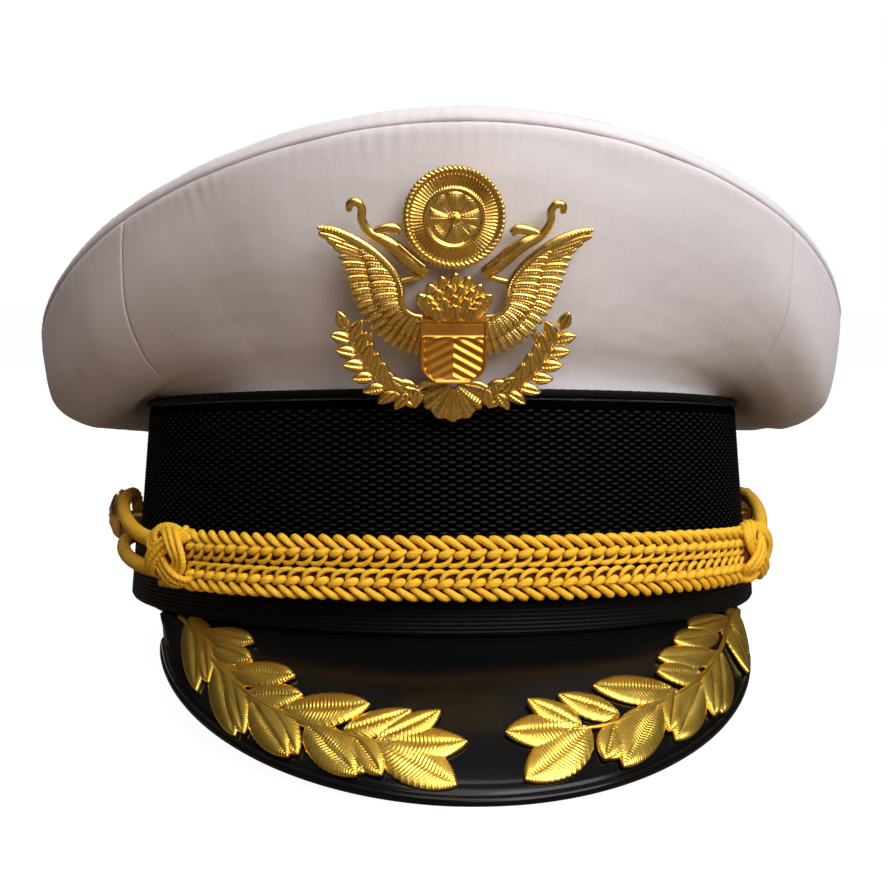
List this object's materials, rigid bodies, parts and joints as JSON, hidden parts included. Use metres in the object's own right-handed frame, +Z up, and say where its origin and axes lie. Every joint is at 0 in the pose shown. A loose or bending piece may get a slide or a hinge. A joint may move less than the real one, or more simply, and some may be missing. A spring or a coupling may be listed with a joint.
{
  "type": "military peaked cap",
  "caption": "Peaked dress cap with a stiffened white crown, black woven band, glossy black visor with leaf sprays, swinging gold chin cord, side buttons and a screw-on badge.",
  "frame": {"origin": "centre of the head opening, in the plane of the band's lower edge at the front", "axes": "+Z up out of the crown, -Y to the front where the visor is, +X to the wearer's left"},
  "size_m": [0.2398, 0.2804, 0.152],
  "materials": {
    "white_cloth": "matt twill",
    "black_braid": "woven",
    "black_ribbon": "ribbed",
    "black_patent": "patent gloss",
    "visor_under": "grained",
    "gold_cord": "braided",
    "gilt_metal": "polished gilt",
    "gilt_leaf": "embossed gilt",
    "frame_board": "fibreboard",
    "leather": "smooth",
    "spring_steel": "drawn wire",
    "front_pad": "felted pad",
    "lining_satin": "satin",
    "clear_vinyl": "clear film"
  },
  "bodies": {
    "cap": {"sweatband": "leather", "sweatband_piping": "leather", "frame_band": "frame_board", "band_braid": "black_braid", "band_top_welt": "black_ribbon", "base_belt": "black_ribbon", "crown_front_panel": "white_cloth", "crown_left_panel": "white_cloth", "crown_right_panel": "white_cloth", "crown_top_panel": "white_cloth", "rim_hoop": "spring_steel", "rim_hoop_sleeve": "spring_steel", "front_stay": "spring_steel", "front_pad": "front_pad", "lining_side": "lining_satin", "lining_tip": "lining_satin", "sweat_shield": "clear_vinyl", "visor_shell": "black_patent", "visor_lining": "visor_under", "visor_edge_bead": "black_patent", "leaf_spray_left": "gilt_leaf", "leaf_spray_right": "gilt_leaf", "badge_wings": "gilt_metal", "badge_shield": "gilt_metal", "badge_medallion": "gilt_metal", "badge_screw_post": "gilt_metal", "badge_washer": "spring_steel"},
    "chin_cord": {"cord_upper_row": "gold_cord", "cord_lower_row": "gold_cord", "cord_knot_left": "gold_cord", "cord_knot_right": "gold_cord", "cord_loop_left": "gold_cord", "cord_loop_right": "gold_cord"},
    "button_left": {"button_shell_left": "gilt_metal", "button_back_left": "gilt_metal", "button_keeper_left": "spring_steel"},
    "button_right": {"button_shell_right": "gilt_metal", "button_back_right": "gilt_metal", "button_keeper_right": "spring_steel"},
    "badge_nut": {"badge_thumb_nut": "gilt_metal"}
  },
  "joints": [
    {"name": "chin_cord_swing", "type": "hinge", "parent": "cap", "child": "chin_cord", "pos_m": [0, 0.01, 0.024], "axis": [-1, 0, 0], "range_deg": [0, 12]},
    {"name": "button_left_turn", "type": "hinge", "parent": "cap", "child": "button_left", "pos_m": [0.0986, 0.01, 0.024], "axis": [1, 0, 0], "continuous": true},
    {"name": "button_right_turn", "type": "hinge", "parent": "cap", "child": "button_right", "pos_m": [-0.0986, 0.01, 0.024], "axis": [-1, 0, 0], "continuous": true},
    {"name": "badge_nut_turn", "type": "hinge", "parent": "cap", "child": "badge_nut", "pos_m": [-0.0042, -0.1119, 0.07198], "axis": [0, -0.9455, -0.3256], "continuous": true}
  ]
}
